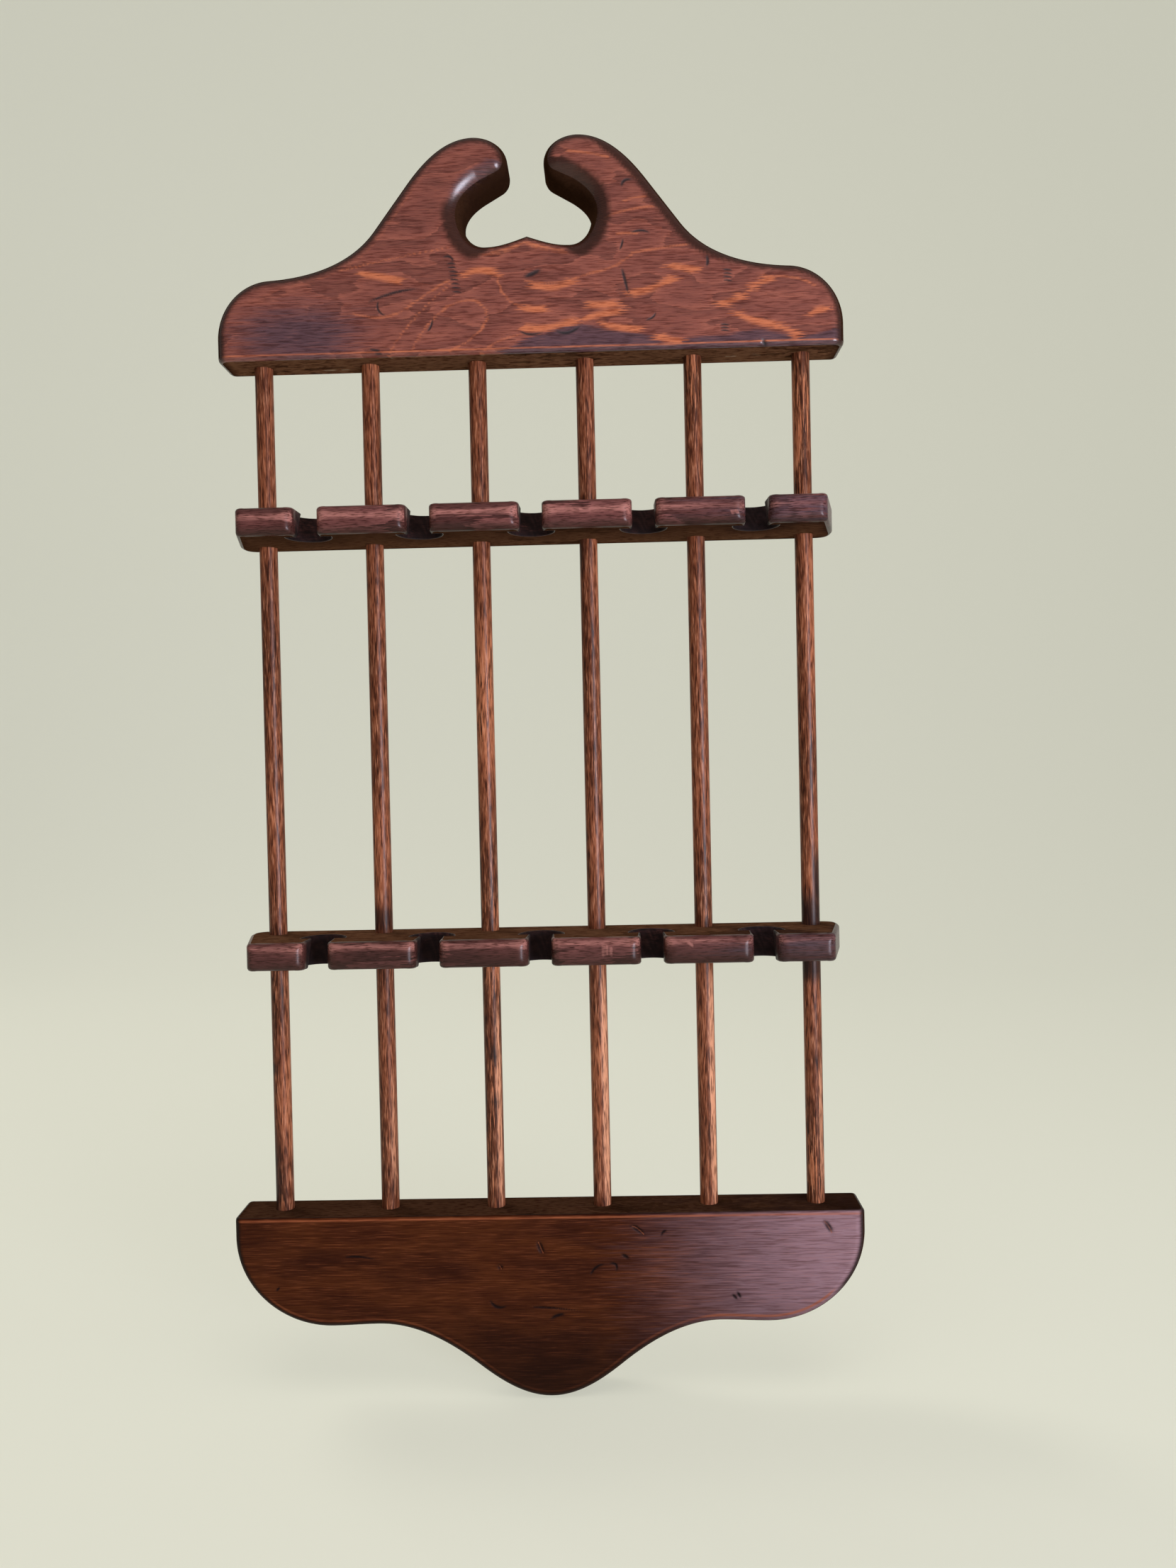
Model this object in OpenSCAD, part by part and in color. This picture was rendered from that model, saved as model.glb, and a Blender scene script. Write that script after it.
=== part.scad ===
// Wall rack for collector spoons: a scrolled crest and a shaped apron joined by round
// dowels, with two slotted rails threaded on the dowels between them. The front faces -Y,
// the wall is towards +Y and the backs of all boards lie on the plane y = 0. The origin is
// the middle notch of the hanger on the crest's back.

/* [Dowels] */
// Number of dowels
dowel_count = 6; // [5:1:10]
// Diameter of a dowel
dowel_d = 6.35; // [4:0.05:9]
// Spacing of the dowel axes
dowel_pitch = 38.1; // [34:0.1:46]
// Distance from the dowel axes to the backs of the boards
dowel_back = 7.5; // [6:0.1:9]
// Depth of the blind sockets in the crest and the apron
socket_depth = 12.7; // [8:0.1:18]
// Radial glue gap between a dowel and its hole
glue_gap = 0.05; // [0.03:0.01:0.2]
// Chamfer on the ends of a dowel
dowel_chamfer = 0.6; // [0.2:0.1:1]

/* [Boards] */
// Thickness of the crest and the apron
board_t = 18; // [15:0.5:24]
// Clear height between the crest and the apron
board_gap = 300.4; // [240:0.2:360]
// Eased edge along the straight edges that hold the dowels
straight_ease = 0.9; // [0.4:0.1:2]
// Length over which that ease grows into the rolled ends
ease_run = 7.5; // [6:0.1:10]

/* [Crest ends and flanks] */
// Reach of the crest past the outer dowel axes
crest_over = 14; // [11:0.1:24]
// Height of the straight part of each end
crest_end_h = 8; // [4:0.1:12]
// Height of the shoulders
shoulder_h = 28.5; // [24:0.1:32]
// Length of the rounded shoulder, measured in from each end
shoulder_len = 18.7; // [14:0.1:22]
// Slope of the shoulders where they run in towards the flanks, in degrees
shoulder_slope = 3; // [0:0.5:6]
// Distance from the middle to the foot of the straight flank
flank_x = 53.5; // [50:0.1:57]
// Height of the foot of the straight flank
flank_h = 44.4; // [41:0.1:48]
// Length of the straight flank
flank_len = 19.2; // [12:0.1:22]
// Steepness of the flanks, in degrees
flank_angle = 53.2; // [46:0.1:58]

/* [Crest scrolls] */
// Height of the crest to the tops of its scrolls
crest_h = 75.8; // [73:0.1:82]
// Distance from the middle to the top of a scroll
scroll_top_x = 18; // [16:0.1:20]
// Gap between the two scroll knobs
knob_gap = 12.6; // [9:0.1:16]
// Drop from the top of a scroll to the tip of its knob
knob_drop = 9.2; // [8:0.1:11]
// Radius of the chin under the tip
chin_r = 5.5; // [5.3:0.1:6]
// Slope of the knob's underside, in degrees
chin_slope = 30; // [25:1:35]
// Length of the straight underside behind the chin
chin_len = 6.7; // [4:0.1:8]
// Width of the opening between the scrolls
opening_w = 45.2; // [43:0.1:50]
// Height of the widest place of the opening above the bottom edge
opening_wide_h = 48.5; // [46:0.1:51]
// Height of the lowest places of the opening above the bottom edge
opening_floor = 37.9; // [35:0.1:41]
// Distance from the middle to those lowest places
opening_low_x = 14.2; // [12:0.1:16]
// Rise of the peak in the middle of the opening's floor
peak_rise = 3.3; // [2:0.1:5]
// Slope of the floor where it meets the peak, in degrees
peak_slope = 18; // [16:0.5:22]
// Rolled edge of the crest on its front
crest_roll = 4.5; // [2:0.1:4.8]
// Rolled edge of the crest on its back
crest_back_roll = 2.5; // [1:0.1:4]

/* [Apron] */
// Reach of the apron past the outer dowel axes
apron_over = 15.5; // [11:0.1:24]
// Height of the apron at its middle drop
apron_h = 64.8; // [60:0.1:75]
// Height of the straight part of each end
apron_end_h = 7; // [3:0.1:12]
// Length of the rounded lobe, measured in from each end
lobe_len = 33.8; // [28:0.1:38]
// Height of the apron at its lobes
lobe_h = 39.1; // [36:0.1:42]
// Distance from the middle to the brow between lobe and drop
brow_x = 60.4; // [55:0.1:66]
// Height of the apron at that brow
brow_h = 38.6; // [36:0.1:42]
// Distance from the middle to the steepest place of the drop
waist_x = 25.5; // [22:0.1:30]
// Height of the apron there
waist_h = 53.3; // [50:0.1:57]
// Steepness of the drop there, in degrees
waist_angle = 38; // [30:1:44]
// Rolled edge of the apron on its front
apron_roll = 2.8; // [1.5:0.1:4]
// Rolled edge of the apron on its back
apron_back_roll = 1.8; // [1:0.1:3]

/* [Rails] */
// Thickness of a rail
rail_t = 9.5; // [8:0.1:12]
// Depth of a rail from front to back
rail_d = 32.5; // [29:0.1:40]
// Reach of the rails past the outer dowel axes at the back
rail_over_back = 10; // [7:0.1:16]
// Reach of the rails past the outer dowel axes at the front
rail_over_front = 4; // [2:0.1:6]
// Length of the square part of a rail's end before it slants in
rail_end_square = 8; // [7:0.1:12]
// Rounding of the slanted ends at the front
rail_front_r = 3.2; // [3.2:0.1:6]
// Rounding of the bend where the ends start to slant
rail_bend_r = 8; // [4:0.1:12]
// Rounding of the corners at the back
rail_back_r = 5; // [2:0.1:6]
// Rolled edge along the front of the rails
rail_roll = 2.8; // [1:0.1:3]
// Drop from the crest to the top of the upper rail
upper_rail_drop = 54; // [40:0.2:70]
// Rise from the apron to the underside of the lower rail
lower_rail_rise = 89.4; // [60:0.2:110]

/* [Spoon slots] */
// Width of the throat that lets a spoon's stem in
throat_w = 7.7; // [6:0.1:10]
// Rounding of the throat's mouth
mouth_r = 3.5; // [3.2:0.1:5]
// Overlap of the throat with the seat behind it
throat_run = 0.8; // [0.4:0.1:1.2]
// Radius of the half-round seat behind the throat
seat_r = 7.6; // [6.5:0.1:9]
// Distance from the rail's front to the flat of the seat, at mid thickness
seat_in = 9.2; // [8:0.1:11]
// Backward lean of the seat, in degrees
seat_lean = 33; // [15:1:36]

/* [Hanger] */
// Height of the hanger's middle notch above the crest's bottom edge
hanger_rise = 24; // [21:0.5:26]
// Length of the hanger strip
hanger_len = 45; // [40:0.5:55]
// Height of the hanger strip
hanger_h = 9; // [7.5:0.1:10]
// Thickness of the strip
hanger_t = 0.8; // [0.6:0.1:1.2]
// Stand-off of the toothed middle from the crest
hanger_bow = 1.6; // [1:0.1:2.5]
// Length of the flat ends that are nailed down
hanger_foot = 9.5; // [8:0.1:12]
// Length of the bend from a flat end to the middle
hanger_bend = 2.5; // [1.5:0.1:4]
// Pitch of the notches along the lower edge
notch_pitch = 3.2; // [2.4:0.1:4]
// Width of a notch at its mouth
notch_w = 2.7; // [1.6:0.1:3]
// Depth of a notch
notch_depth = 2; // [1:0.1:2.5]
// Diameter of the nails
nail_d = 1.6; // [1.2:0.1:2]
// Diameter of the nail heads
nail_head_d = 3.8; // [3:0.1:5]
// Thickness of the nail heads
nail_head_t = 0.7; // [0.4:0.1:1]
// Length of the nails under the head
nail_len = 11; // [8:0.5:14]
// Length of the nails' points
nail_point = 2; // [1:0.1:3]
// Radial gap round a nail
nail_gap = 0.05; // [0.03:0.01:0.2]

/* [Hidden] */
dowel_names = [for (i = [1:dowel_count]) str("dowel_", i)];

$fn = 64;
walnut = [0.33, 0.16, 0.11];
dark_walnut = [0.25, 0.12, 0.09];
warm_walnut = [0.40, 0.20, 0.12];
steel = [0.66, 0.65, 0.62];

// Turn in degrees from one point of a curve to the next, and the fewest steps on a curve
turn_step = 11;
fewest_steps = 4;
// Steps on each rounded corner and across each rolled edge
corner_n = 5;
roll_n = 4;
// Sine of the turn from which a point of an outline counts as a corner
corner_turn = 0.5;
// Overshoot of a cut past the face that it opens
past = 1;
// Skin that is trimmed off a rolled board to leave its flat faces
skin = 0.02;

outer_x = (dowel_count - 1) / 2 * dowel_pitch;
dowel_x = [for (i = [0:dowel_count - 1]) i * dowel_pitch - outer_x];
slot_x = [for (i = [0:dowel_count - 2]) dowel_x[i] + dowel_pitch / 2];
hole_d = dowel_d + 2 * glue_gap;
crest_z = -hanger_rise;
apron_z = crest_z - board_gap;
upper_rail_z = crest_z - upper_rail_drop - rail_t;
lower_rail_z = apron_z + lower_rail_rise;
nail_x = hanger_len / 2 - hanger_foot / 2;
nail_z = hanger_h / 2 - notch_depth;

function unit(v) = v / norm(v);
function left_of(v) = [-v.y, v.x];
function heading(angle) = [cos(angle), sin(angle)];
function turn_between(a, b) = (b - a + 540) % 360 - 180;
function mirrored(pts) = [for (i = [len(pts) - 1:-1:0]) [-pts[i].x, pts[i].y, pts[i][2]]];

// Points from knot a up to knot b, without b. A knot is [x, y, heading in degrees]. The
// cubic curve between them is as full as an arc with the same turn, and a stretch that
// neither turns nor bends is its first point alone.
function stretch(a, b) =
    let (
        from = [a.x, a.y],
        to = [b.x, b.y],
        turn = turn_between(a[2], b[2]),
        chord = norm(to - from),
        straight = abs(turn) < 1 && norm(to - from - chord * heading(a[2])) < chord / 100,
        share = abs(turn) < 1 ? 1 / 3 : 2 / 3 * tan(turn / 4) / sin(turn / 2),
        leave = from + share * chord * heading(a[2]),
        arrive = to - share * chord * heading(b[2]),
        n = straight ? 1 : max(fewest_steps, ceil(abs(turn) / turn_step))
    )
    [for (i = [0:n - 1])
        let (t = i / n, u = 1 - t)
        u * u * u * from + 3 * u * u * t * leave + 3 * u * t * t * arrive + t * t * t * to];

// Points [x, y, roll] through all knots but the last, with the same rolled edge all along
function run(knots, roll) = [
    for (k = [0:len(knots) - 2])
        for (p = stretch(knots[k], knots[k + 1]))
            [p.x, p.y, roll]
];

// Arc of radius r that rounds the corner p between its neighbours a and b
function corner(a, p, b, r) =
    let (
        u = unit(a - p),
        v = unit(b - p),
        half = acos(u * v) / 2,
        centre = p + unit(u + v) * r / sin(half),
        first = p + u * r / tan(half) - centre,
        last = p + v * r / tan(half) - centre,
        turn = 180 - 2 * half
    )
    [for (i = [0:corner_n])
        let (s = i / corner_n)
        centre + (sin((1 - s) * turn) * first + sin(s * turn) * last) / sin(turn)];

// Way in from point i of an outline to where its roll meets the face: along the mean normal
// on a curve, and to where the rolls of the two neighbouring edges cross at a corner
function pull(pts, i) =
    let (
        n = len(pts),
        p = pts[i],
        before = pts[(i + n - 1) % n],
        after = pts[(i + 1) % n],
        a = left_of(unit([p.x - before.x, p.y - before.y])),
        b = left_of(unit([after.x - p.x, after.y - p.y])),
        cross_ab = a.x * b.y - a.y * b.x
    )
    abs(cross_ab) < corner_turn
        ? unit(a + b) * p[2]
        : [before[2] * b.y - after[2] * a.y, a.x * after[2] - b.x * before[2]] / cross_ab;

// Board of thickness t on a counter-clockwise outline of [x, y, roll], with its edges rolled
// by those radii on the upper face and by back_share of them on the lower face
module rolled_board(pts, t, back_share) {
    n = len(pts);
    pulls = [for (i = [0:n - 1]) pull(pts, i)];
    steps = [for (k = [0:roll_n]) 90 * k / roll_n];
    lower = [for (a = steps) [back_share * (1 - sin(a)), back_share * (1 - cos(a)), 0]];
    upper = [for (k = [roll_n:-1:0]) [1 - sin(steps[k]), cos(steps[k]) - 1, t]];
    rings = concat(lower, upper);
    points = [for (g = rings) for (i = [0:n - 1])
        [pts[i].x + pulls[i].x * g[0], pts[i].y + pulls[i].y * g[0], g[2] + pts[i][2] * g[1]]];
    bands = [for (k = [0:len(rings) - 2]) for (i = [0:n - 1])
        let (j = (i + 1) % n, a = k * n + i, b = k * n + j)
        each [[a, a + n, b + n], [a, b + n, b]]];
    bottom = [for (i = [0:n - 1]) i];
    top = [for (i = [n - 1:-1:0]) (len(rings) - 1) * n + i];
    polyhedron(points, concat(bands, [bottom, top]), convexity = 10);
}

// Front view of the crest: the ends, shoulders and flanks up to the scrolls, and round the
// knobs and down into the opening to the peak in its floor
function crest_outline() =
    let (
        end_x = outer_x + crest_over,
        flank = heading(180 - flank_angle),
        flank_foot = [flank_x, flank_h],
        flank_top = flank_foot + flank_len * flank,
        tip = [knob_gap / 2, crest_h - knob_drop],
        chin = tip + chin_r * [1 - sin(chin_slope), -cos(chin_slope)],
        under = chin + chin_len * heading(-chin_slope),
        peak_h = opening_floor + peak_rise,
        right = concat(
            [[end_x - ease_run, -skin, straight_ease], [end_x, -skin, crest_roll]],
            run([
                [end_x, crest_end_h, 90],
                [end_x - shoulder_len, shoulder_h, 180 - shoulder_slope],
                [flank_foot.x, flank_foot.y, 180 - flank_angle],
                [flank_top.x, flank_top.y, 180 - flank_angle],
                [scroll_top_x, crest_h, 180],
                [tip.x, tip.y, 270],
                [chin.x, chin.y, 360 - chin_slope],
                [under.x, under.y, 360 - chin_slope],
                [opening_w / 2, opening_wide_h, 270],
                [opening_low_x, opening_floor, 180],
                [0, peak_h, 180 - peak_slope]
            ], crest_roll)
        )
    )
    concat(right, [[0, peak_h, crest_roll]], mirrored(right));

// Front view of the apron: its ends, lobes and brows down to the drop in the middle
function apron_outline() =
    let (
        end_x = outer_x + apron_over,
        left = concat(
            [[ease_run - end_x, skin, straight_ease], [-end_x, skin, apron_roll]],
            run([
                [-end_x, -apron_end_h, 270],
                [lobe_len - end_x, -lobe_h, 0],
                [-brow_x, -brow_h, 0],
                [-waist_x, -waist_h, 360 - waist_angle],
                [0, -apron_h, 0]
            ], apron_roll)
        )
    )
    concat(left, [[0, -apron_h, apron_roll]], mirrored(left));

// Board of thickness t in front view, with its back on y = 0 and its straight edge on z,
// standing up from there (side 1) or hanging down (side -1)
module upright_board(pts, z, side, t, back_share) {
    reach = max([for (p = pts) norm([p.x, p.y])]) + past;
    translate([0, 0, z])
        rotate([90, 0, 0])
            intersection() {
                translate([0, 0, -skin])
                    rolled_board(pts, t + 2 * skin, back_share);
                translate([-reach, side > 0 ? 0 : -reach, 0])
                    cube([2 * reach, reach, t]);
            }
}

// Plan of a rail: the front with its throats, then the slanted ends and the back
function rail_outline() =
    let (
        front = -rail_d,
        half = throat_w / 2,
        seat_top = seat_in + rail_t / 2 * tan(seat_lean),
        throat_end = front + seat_top + throat_run,
        back_x = outer_x + rail_over_back,
        front_x = outer_x + rail_over_front,
        back_right = [back_x, 0],
        back_left = [-back_x, 0],
        bend_right = [back_x, -rail_end_square],
        bend_left = [-back_x, -rail_end_square],
        front_right = [front_x, front],
        front_left = [-front_x, front]
    )
    concat(
        corner(bend_left, front_left, front_right, rail_front_r),
        [for (x = slot_x) each concat(
            corner(front_left, [x - half, front], [x - half, 0], mouth_r),
            [[x - half, throat_end], [x + half, throat_end]],
            corner([x + half, 0], [x + half, front], front_right, mouth_r)
        )],
        corner(front_left, front_right, bend_right, rail_front_r),
        corner(front_right, bend_right, back_right, rail_bend_r),
        corner(bend_right, back_right, back_left, rail_back_r),
        corner(back_right, back_left, bend_left, rail_back_r),
        corner(back_left, bend_left, front_left, rail_bend_r)
    );

// Section of a rail in y and z, with its two front edges rolled
function rail_section() =
    concat(
        [[past, 0], [past, rail_t]],
        corner([past, rail_t], [-rail_d, rail_t], [-rail_d, 0], rail_roll),
        corner([-rail_d, rail_t], [-rail_d, 0], [past, 0], rail_roll)
    );

// Holes of the given depth for all dowels, upwards from z
module dowel_holes(z, depth) {
    for (x = dowel_x)
        translate([x, -dowel_back, z])
            cylinder(d = hole_d, h = depth);
}

module crest_board() {
    color(walnut)
        difference() {
            upright_board(crest_outline(), crest_z, 1, board_t, crest_back_roll / crest_roll);
            dowel_holes(crest_z - past, socket_depth + past);
            for (side = [-1, 1])
                translate([side * nail_x, past, nail_z])
                    rotate([90, 0, 0])
                        cylinder(d = nail_d + 2 * nail_gap, h = nail_len - hanger_t + past);
        }
}

module apron_board() {
    color(walnut)
        difference() {
            upright_board(apron_outline(), apron_z, -1, board_t, apron_back_roll / apron_roll);
            dowel_holes(apron_z - socket_depth, socket_depth + past);
        }
}

// Half-round seat of a spoon's stem, leaning back, with its flat side towards the front
module spoon_seat(x, z) {
    seat_h = 2 * (rail_t / 2 + past + seat_r * sin(seat_lean)) / cos(seat_lean);
    translate([x, seat_in - rail_d, z + rail_t / 2])
        rotate([-seat_lean, 0, 0])
            intersection() {
                cylinder(r = seat_r, h = seat_h, center = true);
                translate([-seat_r - past, 0, -seat_h / 2 - past])
                    cube([2 * (seat_r + past), seat_r + past, seat_h + 2 * past]);
            }
}

module rail(z) {
    rail_reach = outer_x + rail_over_back + past;
    color(dark_walnut)
        difference() {
            intersection() {
                translate([0, 0, z - past])
                    linear_extrude(rail_t + 2 * past)
                        polygon(rail_outline());
                translate([-rail_reach, 0, z])
                    rotate([90, 0, 90])
                        linear_extrude(2 * rail_reach)
                            polygon(rail_section());
            }
            dowel_holes(z - past, rail_t + 2 * past);
            for (x = slot_x)
                spoon_seat(x, z);
        }
}

module upper_rail() {
    rail(upper_rail_z);
}

module lower_rail() {
    rail(lower_rail_z);
}

module dowel(x) {
    r = dowel_d / 2;
    length = board_gap + 2 * socket_depth;
    color(warm_walnut)
        translate([x, -dowel_back, apron_z - socket_depth])
            rotate_extrude()
                polygon([
                    [0, 0],
                    [r - dowel_chamfer, 0],
                    [r, dowel_chamfer],
                    [r, length - dowel_chamfer],
                    [r - dowel_chamfer, length],
                    [0, length]
                ]);
}

// Front view of the hanger strip, with round ends and notches along its lower edge
module hanger_face() {
    end_r = hanger_h / 2;
    middle = hanger_len / 2 - hanger_foot - hanger_bend;
    notches = floor((middle - notch_w / 2) / notch_pitch);
    difference() {
        union() {
            translate([end_r - hanger_len / 2, -notch_depth])
                square([hanger_len - hanger_h, hanger_h]);
            for (side = [-1, 1])
                translate([side * (hanger_len / 2 - end_r), nail_z])
                    circle(r = end_r);
        }
        for (i = [-notches:notches])
            translate([i * notch_pitch, 0])
                polygon([[0, 0], [-notch_w / 2, -notch_depth], [-notch_w / 2, -notch_depth - past],
                    [notch_w / 2, -notch_depth - past], [notch_w / 2, -notch_depth]]);
        for (side = [-1, 1])
            translate([side * nail_x, nail_z])
                circle(d = nail_d + 2 * nail_gap);
    }
}

// Plan of the hanger strip: flat ends on the crest, with the middle bowed away from it
module hanger_bend_plan() {
    half = hanger_len / 2;
    foot_x = half - hanger_foot;
    bow_x = foot_x - hanger_bend;
    polygon([
        [-half, 0], [-foot_x, 0], [-bow_x, hanger_bow], [bow_x, hanger_bow], [foot_x, 0], [half, 0],
        [half, hanger_t], [foot_x, hanger_t], [bow_x, hanger_bow + hanger_t],
        [-bow_x, hanger_bow + hanger_t], [-foot_x, hanger_t], [-half, hanger_t]
    ]);
}

module hanger() {
    color(steel)
        intersection() {
            translate([0, 0, -notch_depth - past])
                linear_extrude(hanger_h + 2 * past)
                    hanger_bend_plan();
            translate([0, hanger_bow + hanger_t + past, 0])
                rotate([90, 0, 0])
                    linear_extrude(hanger_bow + hanger_t + 2 * past)
                        hanger_face();
        }
}

module hanger_nails() {
    color(steel)
        for (side = [-1, 1])
            translate([side * nail_x, hanger_t, nail_z])
                rotate([90, 0, 0])
                    rotate_extrude()
                        polygon([
                            [0, -nail_head_t],
                            [nail_head_d / 2, -nail_head_t],
                            [nail_head_d / 2, 0],
                            [nail_d / 2, 0],
                            [nail_d / 2, nail_len - nail_point],
                            [0, nail_len]
                        ]);
}

crest_board();
apron_board();
upper_rail();
lower_rail();
for (i = [0:dowel_count - 1])
    dowel(dowel_x[i]);
hanger();
hanger_nails();
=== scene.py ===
"""Wooden spoon rack: two shaped boards joined by six dowels, with two slotted rails between them."""

import bpy
import numpy as np
from mathutils import Matrix, Vector
from mathutils.geometry import delaunay_2d_cdt


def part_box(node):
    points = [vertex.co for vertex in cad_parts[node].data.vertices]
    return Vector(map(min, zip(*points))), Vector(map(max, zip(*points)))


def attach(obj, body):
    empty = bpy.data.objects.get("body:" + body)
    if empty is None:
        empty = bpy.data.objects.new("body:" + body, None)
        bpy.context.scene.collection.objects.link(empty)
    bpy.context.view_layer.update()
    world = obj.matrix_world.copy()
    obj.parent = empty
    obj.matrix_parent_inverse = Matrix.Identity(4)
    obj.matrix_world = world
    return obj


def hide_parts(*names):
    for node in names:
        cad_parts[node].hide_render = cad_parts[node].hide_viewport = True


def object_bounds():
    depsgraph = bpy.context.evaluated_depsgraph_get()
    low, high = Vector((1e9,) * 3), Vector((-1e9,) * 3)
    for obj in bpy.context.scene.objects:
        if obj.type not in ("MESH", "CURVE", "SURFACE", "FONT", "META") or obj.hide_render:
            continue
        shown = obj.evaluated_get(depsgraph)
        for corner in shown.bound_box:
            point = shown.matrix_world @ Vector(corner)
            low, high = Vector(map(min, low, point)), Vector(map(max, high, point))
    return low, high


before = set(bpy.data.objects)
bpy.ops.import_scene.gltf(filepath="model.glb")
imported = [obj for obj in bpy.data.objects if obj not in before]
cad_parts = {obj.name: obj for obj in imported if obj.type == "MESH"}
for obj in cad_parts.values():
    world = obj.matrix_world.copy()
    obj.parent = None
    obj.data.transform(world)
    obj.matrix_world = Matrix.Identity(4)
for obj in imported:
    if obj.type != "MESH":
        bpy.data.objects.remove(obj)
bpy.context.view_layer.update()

# Crest board: the scrolled top of the rack, sawn from one plank of flat-sawn wood. Its shaped
# edges are rounded over with a cutter, and it is stained, glazed darker towards the edges and
# varnished. The dowels are glued into blind sockets in its straight bottom edge.
MM = 0.001
crest_low, crest_high = (np.array(corner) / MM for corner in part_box("crest_board"))
crest_end_x = crest_high[0]
crest_z = crest_low[2]
crest_h = crest_high[2] - crest_low[2]
board_front, board_back = crest_low[1], crest_high[1]
fine_step = 0.5
crest_roll = 4.5
knob_roll = 5.3
inner_roll = 8.5
crest_back_roll = 2.5
crest_ease = 1.4
roll_steps = 10
varnished_steps = 5
crease_degrees = 42
dowel_pitch = 38.1
dowel_x = dowel_pitch * np.arange(-2.5, 3)
dowel_y = -7.5
dowel_r = 6.35 / 2
socket_r = dowel_r + 0.16
socket_depth = 12.7


def spaced(line, step):
    """The same line with its points an even step apart; columns past the second follow along."""
    along = np.r_[0, np.cumsum(np.linalg.norm(np.diff(line[:, :2], axis=0), axis=1))]
    even = np.linspace(0, along[-1], max(2, round(along[-1] / step) + 1))
    return np.stack([np.interp(even, along, column) for column in line.T], 1)


def traced(knots, step):
    """A line through knots of across, up, heading in degrees and edge roll, with even points.
    Each stretch is a cubic as full as an arc with the same turn, and the roll changes evenly."""
    knots = np.array(knots, float)
    a, b = knots[:-1], knots[1:]
    turn = np.radians((b[:, 2] - a[:, 2] + 180) % 360 - 180)
    turn = np.where(np.abs(turn) < 0.01, 0.01, turn)
    chord = np.linalg.norm(b[:, :2] - a[:, :2], axis=1)
    handle = (chord * 2 / 3 * np.tan(turn / 4) / np.sin(turn / 2))[:, None]
    way = np.stack([np.cos(np.radians(knots[:, 2])), np.sin(np.radians(knots[:, 2]))], 1)
    leave = a[:, :2] + handle * way[:-1]
    arrive = b[:, :2] - handle * way[1:]
    t = np.linspace(0, 1, 80)[:, None, None]
    u = 1 - t
    place = u**3 * a[:, :2] + 3 * u * u * t * leave + 3 * u * t * t * arrive + t**3 * b[:, :2]
    roll = u * a[:, 3:] + t * b[:, 3:]
    stretches = np.concatenate([place, roll], 2).transpose(1, 0, 2).reshape(-1, knots.shape[1] - 1)
    kept = np.r_[True, np.linalg.norm(np.diff(stretches[:, :2], axis=0), axis=1) > 1e-6]
    return spaced(stretches[kept], step)


def pulls(loop):
    """Inward way at each point of a counter-clockwise loop that keeps both its edges at one distance:
    the sum of the two edge normals over one plus their product."""
    edge = np.roll(loop, -1, axis=0) - loop
    edge /= np.linalg.norm(edge, axis=1)[:, None]
    after = np.stack([-edge[:, 1], edge[:, 0]], 1)
    before = np.roll(after, 1, axis=0)
    return (before + after) / np.maximum(1 + np.sum(before * after, 1), 0.05)[:, None]


def filled(rim, holes, free):
    """Triangles of the flat area inside a rim and outside its holes, with free points as more corners.
    They are numbered through the rim, the holes and the free points in that order."""
    loops = [rim, *holes]
    points = np.vstack([*loops, free])
    starts = np.cumsum([0] + [len(loop) for loop in loops])
    edges = np.vstack([
        np.stack([s + np.arange(len(p)), s + (np.arange(len(p)) + 1) % len(p)], 1)
        for s, p in zip(starts, loops)
    ])
    result = delaunay_2d_cdt([Vector(p) for p in points.tolist()], edges.tolist(), [], 1, 1e-7)
    first = np.array([ids[0] for ids in result[3]])
    triangles = first[np.array(result[2])]
    loop_of = np.full(len(points), -1)
    for k, loop in enumerate(loops):
        loop_of[starts[k]:starts[k] + len(loop)] = k
    owner = loop_of[triangles]
    in_hole = (owner[:, 0] > 0) & (owner == owner[:, :1]).all(1)
    return triangles[~in_hole]


def honeycomb(low, high, step):
    """Points in staggered rows over a rectangle, a step apart."""
    rows = np.arange(low[1], high[1], step * 0.866)
    across = np.arange(low[0], high[0], step)
    x = across + (np.arange(len(rows)) % 2)[:, None] * step / 2
    return np.stack([x.ravel(), np.repeat(rows, len(across))], 1)


def nearest(points, line):
    """Distance from each point to the nearest point of a line, and which one that is."""
    batches = np.array_split(points, len(points) // 2000 + 1)
    parts = [np.linalg.norm(batch[:, None] - line, axis=2) for batch in batches]
    return np.concatenate([d.min(1) for d in parts]), np.concatenate([d.argmin(1) for d in parts])


def within(points, loop):
    """Which points lie inside a loop: those from which a ray crosses it an odd number of times."""
    a, b = loop, np.roll(loop, -1, axis=0)
    inside = np.zeros(len(points), bool)
    for part in np.array_split(np.arange(len(points)), len(points) // 2000 + 1):
        x, y = points[part, 0, None], points[part, 1, None]
        between = (a[:, 1] > y) != (b[:, 1] > y)
        rise = np.where(b[:, 1] == a[:, 1], 1, b[:, 1] - a[:, 1])
        crossing = a[:, 0] + (y - a[:, 1]) / rise * (b[:, 0] - a[:, 0])
        inside[part] = (between & (x < crossing)).sum(1) % 2 == 1
    return inside


def ring(centre, radius, count=40):
    """Points evenly round a circle, counter-clockwise."""
    angle = np.arange(count) / count * 2 * np.pi
    return np.array(centre) + radius * np.stack([np.cos(angle), np.sin(angle)], 1)


def bands(rows, columns, first=0):
    """Quads between neighbouring rows of a grid whose columns close on themselves."""
    k, i = np.meshgrid(np.arange(rows - 1), np.arange(columns), indexing="ij")
    j = (i + 1) % columns
    quads = np.stack([k * columns + i, (k + 1) * columns + i, (k + 1) * columns + j, k * columns + j], -1)
    return first + quads.reshape(-1, 4)


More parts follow.
